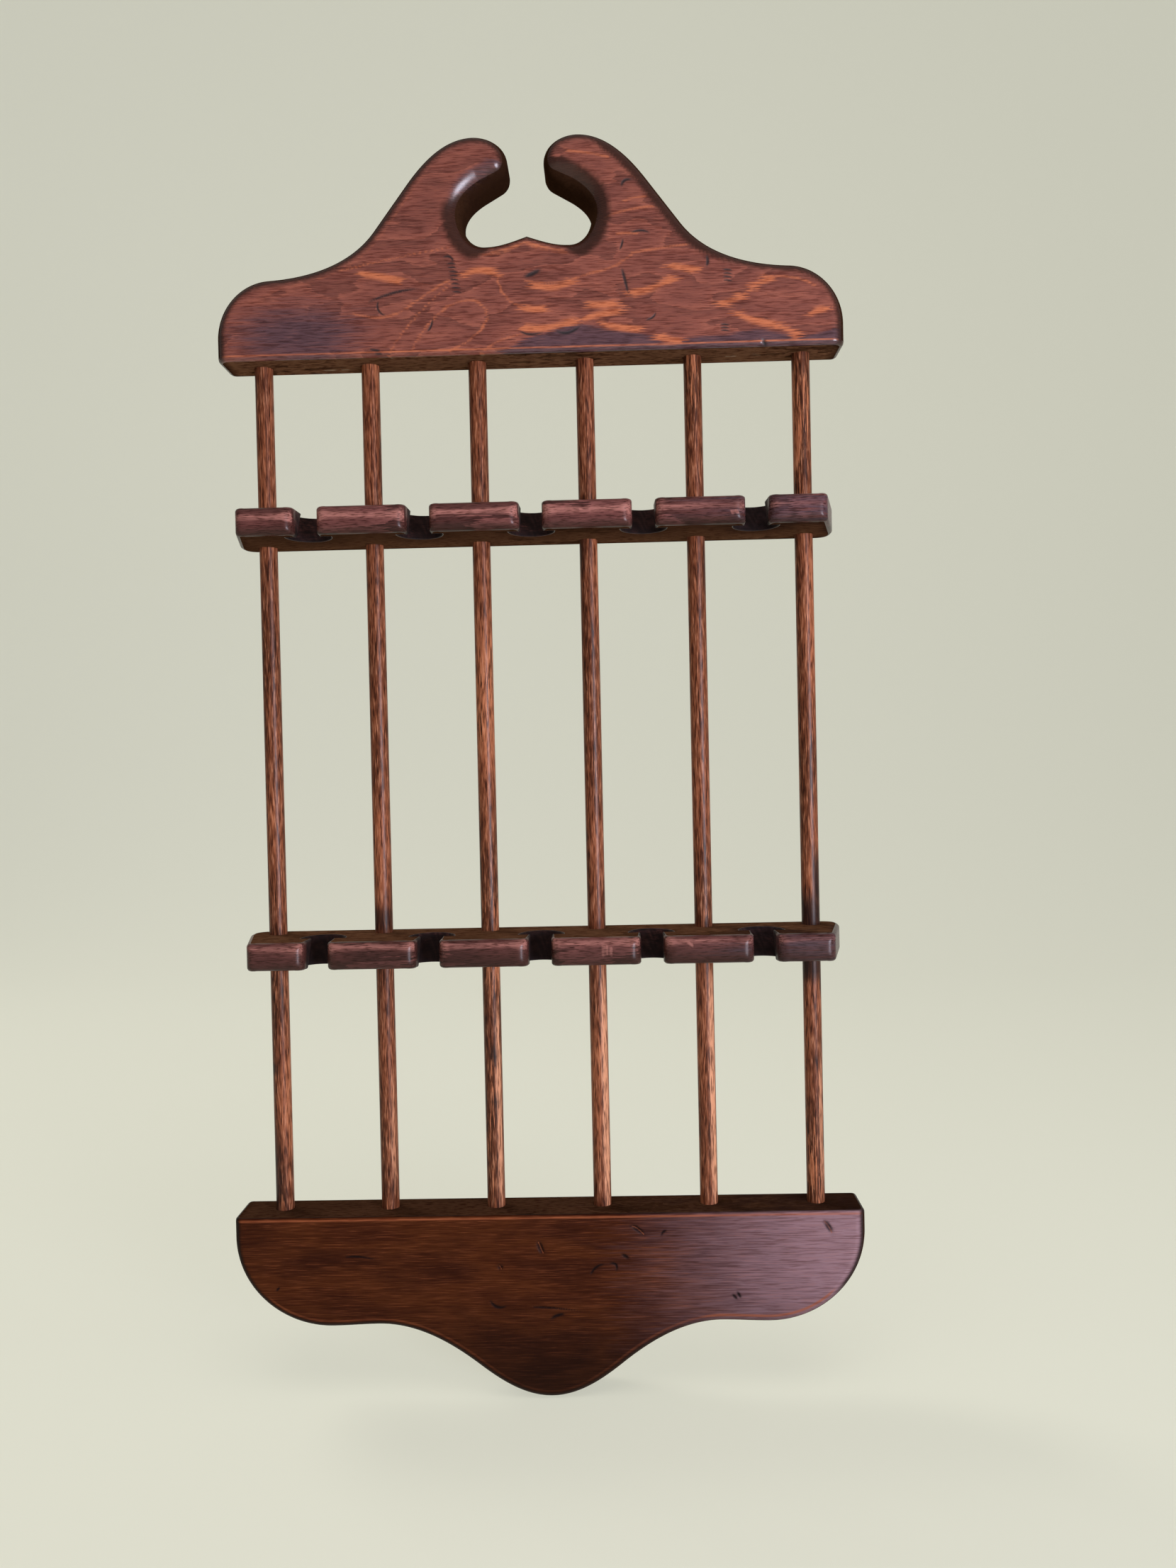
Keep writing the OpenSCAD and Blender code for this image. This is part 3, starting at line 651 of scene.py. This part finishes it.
# Rails: two flat rails threaded on the dowels and glued there. Each has five slots in its front,
# a narrow throat that opens into a half-round seat, and the seats lean back so that a spoon's
# stem rests in them. The front edges are rounded over, and the seats are left rough.
rail_low, rail_high = (np.array(corner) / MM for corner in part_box("upper_rail"))
rail_t = rail_high[2] - rail_low[2]
rail_front = rail_low[1]
rail_back_x = rail_high[0]
rail_slant = 6
rail_front_x = rail_back_x - rail_slant
rail_end_square = 8
slot_x = dowel_x[:-1] + dowel_pitch / 2
throat_w = 7.7
mouth_r = 3.5
seat_r = 7.6
seat_lean = np.radians(33)
seat_y = rail_front + 9.2
front_corner_r = 3.2
end_bend_r = 8
back_corner_r = 5
rail_roll = 2.8
end_roll = 1.3
slot_ease = 0.5
bore_r = dowel_r + 0.16


def rounded(corner, before, after, radius, steps=9):
    """Points on the arc that rounds a corner of a line between its neighbours."""
    corner, before, after = (np.array(p, float) for p in (corner, before, after))
    a = (before - corner) / np.linalg.norm(before - corner)
    b = (after - corner) / np.linalg.norm(after - corner)
    half = np.arccos(a @ b) / 2
    middle = corner + (a + b) / np.linalg.norm(a + b) * radius / np.sin(half)
    first = corner + a * radius / np.tan(half) - middle
    last = corner + b * radius / np.tan(half) - middle
    turn = np.pi - 2 * half
    t = np.linspace(0, 1, steps)[:, None]
    return middle + (np.sin((1 - t) * turn) * first + np.sin(t * turn) * last) / np.sin(turn)


def edged(line, roll, lean):
    """Columns of x, y, edge roll and lean for points of a rail's plan; roll and lean may change evenly."""
    changing = [np.linspace(*np.broadcast_to(ends, 2), len(line)) for ends in (roll, lean)]
    return np.column_stack([line, *changing])


def slot_plan(x):
    """Plan of one slot from its left mouth to its right one, at the middle of the rail's thickness: the
    throat's wall, the horn, half an ellipse for the leaning half-round seat, and back."""
    half = throat_w / 2
    mouth = rounded((-half, rail_front), (-half - 5, rail_front), (-half, 0), mouth_r)
    wall = np.array([[-half, rail_front + mouth_r], [-half, seat_y]])
    angle = np.linspace(np.pi, np.pi / 2, 17)[:, None]
    bowl = np.hstack([seat_r * np.cos(angle), seat_y + seat_r / np.cos(seat_lean) * np.sin(angle)])
    left = np.vstack([
        edged(mouth, (rail_roll, slot_ease * 2), 0),
        edged(spaced(wall, 2), (slot_ease * 2, slot_ease), (0, 1))[1:],
        edged(spaced(np.array([[-half, seat_y], [-seat_r, seat_y]]), 1)[1:], slot_ease, 1),
        edged(bowl[1:], slot_ease, 1),
    ])
    right = (left * [-1, 1, 1, 1])[::-1]
    return np.vstack([left, right[1:]]) + [x, 0, 0, 0]


def rail_plan():
    """Plan of a rail, counter-clockwise from its front left corner: the front with its slots, and the ends,
    which slant out to a square part at the back."""
    back_left, back_right = (-rail_back_x, 0), (rail_back_x, 0)
    bend_left, bend_right = (-rail_back_x, -rail_end_square), (rail_back_x, -rail_end_square)
    front_left, front_right = (-rail_front_x, rail_front), (rail_front_x, rail_front)
    lines = [edged(rounded(front_left, bend_left, front_right, front_corner_r), (end_roll, rail_roll), 0)]
    for x in slot_x:
        slot = slot_plan(x)
        lines.append(edged(spaced(np.array([lines[-1][-1, :2], slot[0, :2]]), fine_step)[1:-1], rail_roll, 0))
        lines.append(slot)
    end = edged(rounded(front_right, front_left, bend_right, front_corner_r), (rail_roll, end_roll), 0)
    lines += [
        edged(spaced(np.array([lines[-1][-1, :2], end[0, :2]]), fine_step)[1:-1], rail_roll, 0),
        end,
        edged(rounded(bend_right, front_right, back_right, end_bend_r), end_roll, 0),
        edged(rounded(back_right, bend_right, back_left, back_corner_r), (end_roll, slot_ease * 2), 0),
        edged(rounded(back_left, back_right, bend_left, back_corner_r), (slot_ease * 2, end_roll), 0),
        edged(rounded(bend_left, back_left, front_left, end_bend_r), end_roll, 0),
    ]
    return np.vstack(lines)


def slotted_rail(bottom_z, highlight_up, shade_up, scuffs):
    """A rail from its plan: each row of points is the plan at one height, drawn in by the quarter rounds of
    the upper and lower edges, with the seats carried back by the height times the tangent of their lean.
    The flat faces are filled round the dowels' bores. The last three arguments are passed on to the masks.
    Returns points, quads, triangles and masks."""
    plan = rail_plan()
    loop, roll, lean = plan[:, :2], plan[:, 2], plan[:, 3]
    n = len(plan)
    turn = np.radians(np.linspace(0, 90, 7))
    upper_in = roll * (1 - np.sin(turn))[:, None]
    upper_z = rail_t - roll * (1 - np.cos(turn))[:, None]
    share = np.linspace(0, 1, 6)[1:-1, None]
    wall_z = (1 - share) * (rail_t - roll) + share * roll
    inset = np.vstack([upper_in, np.zeros((len(share), n)), upper_in[::-1]])
    level = np.vstack([upper_z, wall_z, rail_t - upper_z[::-1]])
    rows = len(inset)
    shift = (level - rail_t / 2) * np.tan(seat_lean) * lean
    place = loop + pulls(loop) * inset[..., None]
    points = np.stack([place[..., 0], place[..., 1] + shift, bottom_z + level], -1).reshape(-1, 3)
    quads = bands(rows, n)
    bores = [ring((x, dowel_y), bore_r) for x in dowel_x]
    triangles = []
    count = len(bores[0])
    for row, z, way in ((0, bottom_z + rail_t, 1), (rows - 1, bottom_z, -1)):
        rim = row * n + np.arange(n)
        mouths = len(points) + np.arange(count * len(bores))
        flat = filled(points[rim][:, :2], bores, np.zeros((0, 2)))
        triangles.append(np.r_[rim, mouths][flat][:, ::way])
        bore_points = np.vstack(bores)
        points = np.vstack([points, np.column_stack([bore_points, np.full(len(bore_points), z)])])
    top = rows * n
    for k in range(len(bores)):
        i = np.arange(count)
        upper = top + k * count
        lower = upper + count * len(bores)
        j = (i + 1) % count
        quads = np.vstack([quads, np.stack([upper + i, upper + j, lower + j, lower + i], 1)])
    return points, quads, np.vstack(triangles), rail_masks(points, plan, rows, highlight_up, shade_up, scuffs)


def rail_masks(points, plan, rows, highlight_up, shade_up, scuffs):
    """Masks of a rail's stain and painted light. The walls of the slots are raw and dark up to their rims,
    and the seats' lower rims are torn pale. The flat faces are lightly glazed. The fronts have a painted
    highlight in a band at highlight_up, are worn light beside the slots and at the scuffs, and have painted
    shade that fades to dark from below over shade_up, both as shares of the thickness. Towards the right they
    turn violet."""
    n = len(plan)
    row = np.arange(rows)[:, None]
    raw = (plan[:, 3] > 0.02) & (row > 0) & (row < rows - 1)
    torn = (plan[:, 3] > 0.98) & (row == rows - 2)
    front = (plan[:, 1] < rail_front + 2) & (row > 1) & (row < rows - 2)
    beside = np.abs(plan[:, :1] - slot_x).min(1) - throat_w / 2
    up = (points[:rows * n, 2].reshape(rows, n) - points[:, 2].min()) / rail_t
    # Painted highlight: a light band across the fronts at highlight_up; the light beside the slots is wear
    light = front * (0.62 * np.exp(-(((up - highlight_up) / 0.16) ** 2)) + 0.3 * np.exp(-((beside / 4) ** 2)))
    light *= 1 - 0.4 * smooth(20, 90, plan[:, 0])
    scuffed = drawn(points[:rows * n][:, [0, 2]], scuffs, 0.5).reshape(rows, n)
    light = np.maximum(light, front * scuffed)
    fibres = 0.88 + 0.12 * np.sin(5 * plan[:, 0] + 9 * plan[:, 1] + 23 * up)
    outer = np.minimum(row, rows - 1 - row)
    # Painted shade: the fronts darken from below over shade_up
    shade = np.maximum(0.3 - 0.15 * outer, 0.75 * np.exp(-((up / shade_up) ** 2)))
    masks = {
        "mark": np.where(torn, 0.3, raw * fibres),
        "light": np.where(torn, 0.45, light),
        "darkening": np.clip(shade, 0, 1),
        "violet": np.broadcast_to(0.5 * smooth(10, 90, plan[:, 0]), (rows, n)),
    }
    bored = {"mark": 0, "light": 0, "darkening": 0.3, "violet": 0}
    spare = len(points) - rows * n
    return {key: np.r_[np.ravel(mask), np.full(spare, bored[key])] for key, mask in masks.items()}


# Dusky red brown, worn lighter in places, with a painted highlight band and painted shade low on the fronts,
# and nearly black in the slots, under a faint gloss
rail_wood = varnished_wood(
    "mahogany-stained birch rail", streak=(20, 3, 0.6), wave=(40, 30, 20), pore=(3.2, 0.6, 0.3),
    bands_per_wave=3, feather=0.8, gloss=0.22, shine=0.15,
    colours={
        "bands": [(0.0, "#7c4c47"), (0.25, "#653c38"), (0.6, "#54312d"), (1.0, "#432724")],
        "violet": "#4d3c44", "light": "#9c675e", "pore": "#857069", "darkening": "#231610", "mark": "#120b0d",
    })
# Pale scuffs on the rails' fronts, as three bends of x and z
upper_scuffs = [
    ((13.1, -81.7), (13.7, -81.6), (14.3, -81.7)),
    ((16.7, -81.6), (17.1, -81.5), (17.5, -81.6)),
    ((19.6, -81.8), (20.0, -81.9), (20.5, -82.0)),
    ((67.4, -84.2), (67.7, -84.3), (68.1, -84.2)),
    ((68.8, -83.9), (69.0, -83.8), (69.3, -83.9)),
]
lower_scuffs = [
    ((21.5, -228.0), (21.4, -229.7), (21.4, -231.4)),
    ((22.7, -228.0), (22.7, -229.5), (22.7, -231.0)),
    ((24.2, -228.9), (24.1, -230.1), (24.1, -231.4)),
    ((48.4, -226.8), (49.7, -227.3), (51.5, -228.7)),
]
# highlight_up places each rail's painted highlight band, shade_up its painted shade
for name, highlight_up, shade_up, scuffs in (
    ("upper_rail", 0.62, 0.25, upper_scuffs),
    ("lower_rail", 0.82, 0.75, lower_scuffs),
):
    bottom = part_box(name)[0][2] / MM
    points, quads, triangles, masks = slotted_rail(bottom, highlight_up, shade_up, scuffs)
    rail = piece(name + "_dressed", points, quads, triangles, [rail_wood, sawn_wood], masks,
                 np.arange(len(quads) + len(triangles)) >= len(quads))
    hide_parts(name)

# Dowels: six turned rods that run from the crest through both rails into the apron, glued in the
# sockets. They are stained and varnished with the rest.
dowel_chamfer = 0.6


def dowel(x, low, high):
    """A rod: a circle carried up a profile that is chamfered at both ends and closed on the axis."""
    between = np.linspace(low + 2, high - 2, 160)
    heights = np.r_[low, low, low + dowel_chamfer, between, high - dowel_chamfer, high, high]
    radii = np.full(len(heights), dowel_r)
    radii[[0, -1]] = 0.02
    radii[[1, -2]] = dowel_r - dowel_chamfer
    angle = np.arange(48) / 48 * 2 * np.pi
    across = x + radii[:, None] * np.cos(angle)
    deep = dowel_y + radii[:, None] * np.sin(angle)
    up = np.broadcast_to(heights[:, None], across.shape)
    points = np.stack([across, deep, up], -1).reshape(-1, 3)
    quads = bands(len(heights), len(angle))[:, ::-1]
    last = (len(heights) - 1) * len(angle)
    caps = filled(ring((0, 0), 1, len(angle)), [], np.zeros((0, 2)))
    return points, quads, np.vstack([caps[:, ::-1], last + caps])


# Dark stains on the dowels: which one, height, side in degrees from the right and round over the
# back, half height and half width in degrees, and strength
dowel_stains = [
    (6, -222, -90, 8, 130, 0.97),
    (6, -211, -45, 13, 42, 0.95),
    (6, -240, -90, 6, 130, 0.97),
    (6, -245, -15, 6, 30, 0.9),
    (2, -220.5, -110, 4.5, 110, 0.85),
    (1, -313, -150, 17, 65, 0.75),
    (1, -273.5, -135, 2.5, 40, 0.8),
    (3, -269.8, -85, 2.2, 35, 0.75),
    (3, -286.4, -75, 2.0, 30, 0.75),
    (5, -95.0, -30, 14, 30, 0.6),
    (4, -92.0, -140, 8, 30, 0.6),
]
# Painted highlights on the dowels' lower right fronts, as pale streaks in the same columns
dowel_painted_highlights = [
    (2, -295, -50, 26, 20, 0.5),
    (3, -290, -48, 40, 22, 0.75),
    (4, -285, -50, 46, 27, 0.95),
    (5, -285, -50, 46, 25, 0.9),
    (6, -295, -50, 30, 20, 0.55),
]


def patch_amount(points, x, number, patches):
    """How strongly each point of one dowel lies in the patches listed for it: a flat bell up and round."""
    side = np.degrees(np.arctan2(points[:, 1] - dowel_y, points[:, 0] - x))
    amount = np.zeros(len(points))
    for which, height, turned, half, width, strength in patches:
        off = (side - turned + 180) % 360 - 180
        bell = np.exp(-(((points[:, 2] - height) / half) ** 4) - (off / width) ** 4)
        amount = np.maximum(amount, strength * bell * (which == number))
    return amount


# Warm brown, streaked light and dark along the rod, under a faint gloss
dowel_wood = varnished_wood(
    "walnut-stained birch dowel", streak=(0.55, 0.55, 16), wave=(14, 14, 70), pore=(0.4, 0.4, 5),
    bands_per_wave=2, feather=1.2, gloss=0.3, shine=0.15, fleck=0.5,
    colours={
        "bands": [(0.0, "#b06c49"), (0.3, "#894e33"), (0.7, "#6a3a25"), (1.0, "#4a2818")],
        "violet": "#553c38", "light": "#c88b69", "pore": "#5a3c32", "darkening": "#150d0e", "mark": "#1a1112",
    })
for k, x in enumerate(dowel_x):
    name = f"dowel_{k + 1}"
    low, high = (corner[2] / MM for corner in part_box(name))
    points, quads, triangles = dowel(x, low, high)
    # Here the light mask paints highlights and the dark one holds the stains
    rod = piece(name + "_dressed", points, quads, triangles, [dowel_wood], {
        "darkening": patch_amount(points, x, k + 1, dowel_stains), "light": patch_amount(points, x, k + 1, dowel_painted_highlights),
    })
    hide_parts(name)

# Hanger: a toothed steel strip with its two brads on the back of the crest. It is pressed from
# sheet and zinc-plated, so the eye sees a dull bluish grey metal with a faint blotchy spangle.
zinc_spangle = 1.5
zinc = bpy.data.materials.new("zinc-plated steel")
zinc.use_nodes = True
tree = zinc.node_tree
tree.nodes.clear()
place = put(tree, "ShaderNodeTexCoord").node.outputs["Object"]
spangle = put(tree, "ShaderNodeTexNoise", {"Vector": place, "Scale": 1 / (zinc_spangle * MM), "Detail": 3.0})
tone = put(tree, "ShaderNodeValToRGB", {"Fac": spangle}, stops=[(0.35, "#8d9196"), (0.65, "#b4b7b8")])
rough = put(tree, "ShaderNodeMapRange", {"Value": spangle, "To Min": 0.28, "To Max": 0.5})
shader = put(tree, "ShaderNodeBsdfPrincipled", {"Base Color": tone, "Roughness": rough, "Metallic": 1.0})
put(tree, "ShaderNodeOutputMaterial", {"Surface": shader})
for name in ("hanger", "hanger_nails"):
    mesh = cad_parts[name].data
    mesh.materials.clear()
    mesh.materials.append(zinc)

# Room for the picture: a plain pale floor that sweeps up far behind the rack, the camera where the
# photograph was taken from, a soft lamp low on the right, a broad one above and one behind on the left.
# Only the lamp on the right shows in the varnish, and reflections see the room half as pale.
image_h = 2212
focal_px = 1662
floor_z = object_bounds()[0][2] - 0.0002
sweep_y, sweep_r, sweep_h, sweep_w = 1.6, 0.8, 3.0, 8.0


def sweep():
    """A sheet whose section is a flat floor, a quarter circle and an upright back, drawn out sideways."""
    turn = np.linspace(0, np.pi / 2, 24)
    deep = np.r_[-4, sweep_y - sweep_r + sweep_r * np.sin(turn), sweep_y]
    up = np.r_[0, sweep_r * (1 - np.cos(turn)), sweep_h]
    across = np.array([-sweep_w / 2, sweep_w / 2])
    points = np.stack([
        np.repeat(across, len(deep)), np.tile(deep, 2), floor_z + np.tile(up, 2)], 1)
    i = np.arange(len(deep) - 1)
    return points, np.stack([i, i + len(deep), i + len(deep) + 1, i + 1], 1)


points, quads = sweep()
# Evenly pale to the eye, and it takes the soft shadow of the rack
paper = bpy.data.materials.new("pale matt paper")
paper.use_nodes = True
tree = paper.node_tree
tree.nodes.clear()
matt = put(tree, "ShaderNodeBsdfPrincipled", {"Base Color": linear("#e6e6d8"), "Roughness": 0.9})
glow = put(tree, "ShaderNodeEmission", {"Color": linear("#e4e4d3"), "Strength": 1.0})
ray = put(tree, "ShaderNodeLightPath").node.outputs
seen = put(tree, "ShaderNodeMath", {0: ray["Is Camera Ray"], 1: ray["Is Glossy Ray"]}, operation="MAXIMUM")
seen = put(tree, "ShaderNodeMath", {0: seen, 1: ray["Is Transmission Ray"]}, operation="MAXIMUM")
seen = put(tree, "ShaderNodeMath", {0: seen, 1: 0.65}, operation="MULTIPLY")
sheet = put(tree, "ShaderNodeMixShader", {0: seen, 1: matt, 2: glow})
put(tree, "ShaderNodeOutputMaterial", {"Surface": sheet})
mesh = bpy.data.meshes.new("floor")
mesh.from_pydata(points.tolist(), [], quads.tolist())
mesh.materials.append(paper)
mesh.shade_smooth()
floor = bpy.data.objects.new("floor", mesh)
bpy.context.scene.collection.objects.link(floor)

scene = bpy.context.scene
scene.view_settings.view_transform = "Standard"
view = bpy.data.cameras.new("camera")
view.sensor_width = 36
view.lens = view.sensor_width * focal_px / image_h
eye = bpy.data.objects.new("camera", view)
eye.location = (0.0256, -0.4274, -0.1672)
eye.rotation_euler = np.radians((89.068, 1.244, 1.148))
scene.collection.objects.link(eye)
scene.camera = eye

# An even pale grey all round, which lights the rack only a little
world = bpy.data.worlds.new("pale room")
world.use_nodes = True
tree = world.node_tree
tree.nodes.clear()
ray = put(tree, "ShaderNodeLightPath").node.outputs
seen = put(tree, "ShaderNodeMath", {0: ray["Is Camera Ray"], 1: ray["Is Transmission Ray"]},
           operation="MAXIMUM")
level = put(tree, "ShaderNodeMapRange", {"Value": seen, "To Min": 0.15, "To Max": 0.6})
level = put(tree, "ShaderNodeMath", {0: ray["Is Glossy Ray"], 1: 0.15, 2: level}, operation="MULTIPLY_ADD")
sky = put(tree, "ShaderNodeBackground", {"Color": linear("#e4e6e0"), "Strength": level})
put(tree, "ShaderNodeOutputWorld", {"Surface": sky})
scene.world = world
rack_middle = Vector((0, 0, -0.17))
for name, place, size, power, spread, code in (
    ("low right window", (0.6, -0.85, -0.2), (0.34, 0.34), 3.2, 90, "#eceeff"),
    ("ceiling", (0.1, -0.6, 1.25), (1.4, 1.0), 11, 180, "#fffaf2"),
    ("far left", (-1.3, 1.0, 0.9), (0.8, 0.8), 5, 90, "#fffaf2"),
):
    lamp = bpy.data.lights.new(name, "AREA")
    lamp.shape = "RECTANGLE"
    lamp.size, lamp.size_y = size
    lamp.energy = power
    lamp.spread = np.radians(spread)
    lamp.color = linear(code)[:3]
    stand = bpy.data.objects.new(name, lamp)
    aim = rack_middle - Vector(place)
    stand.matrix_world = Matrix.Translation(place) @ aim.to_track_quat("-Z", "Y").to_matrix().to_4x4()
    stand.visible_glossy = name == "low right window"
    scene.collection.objects.link(stand)
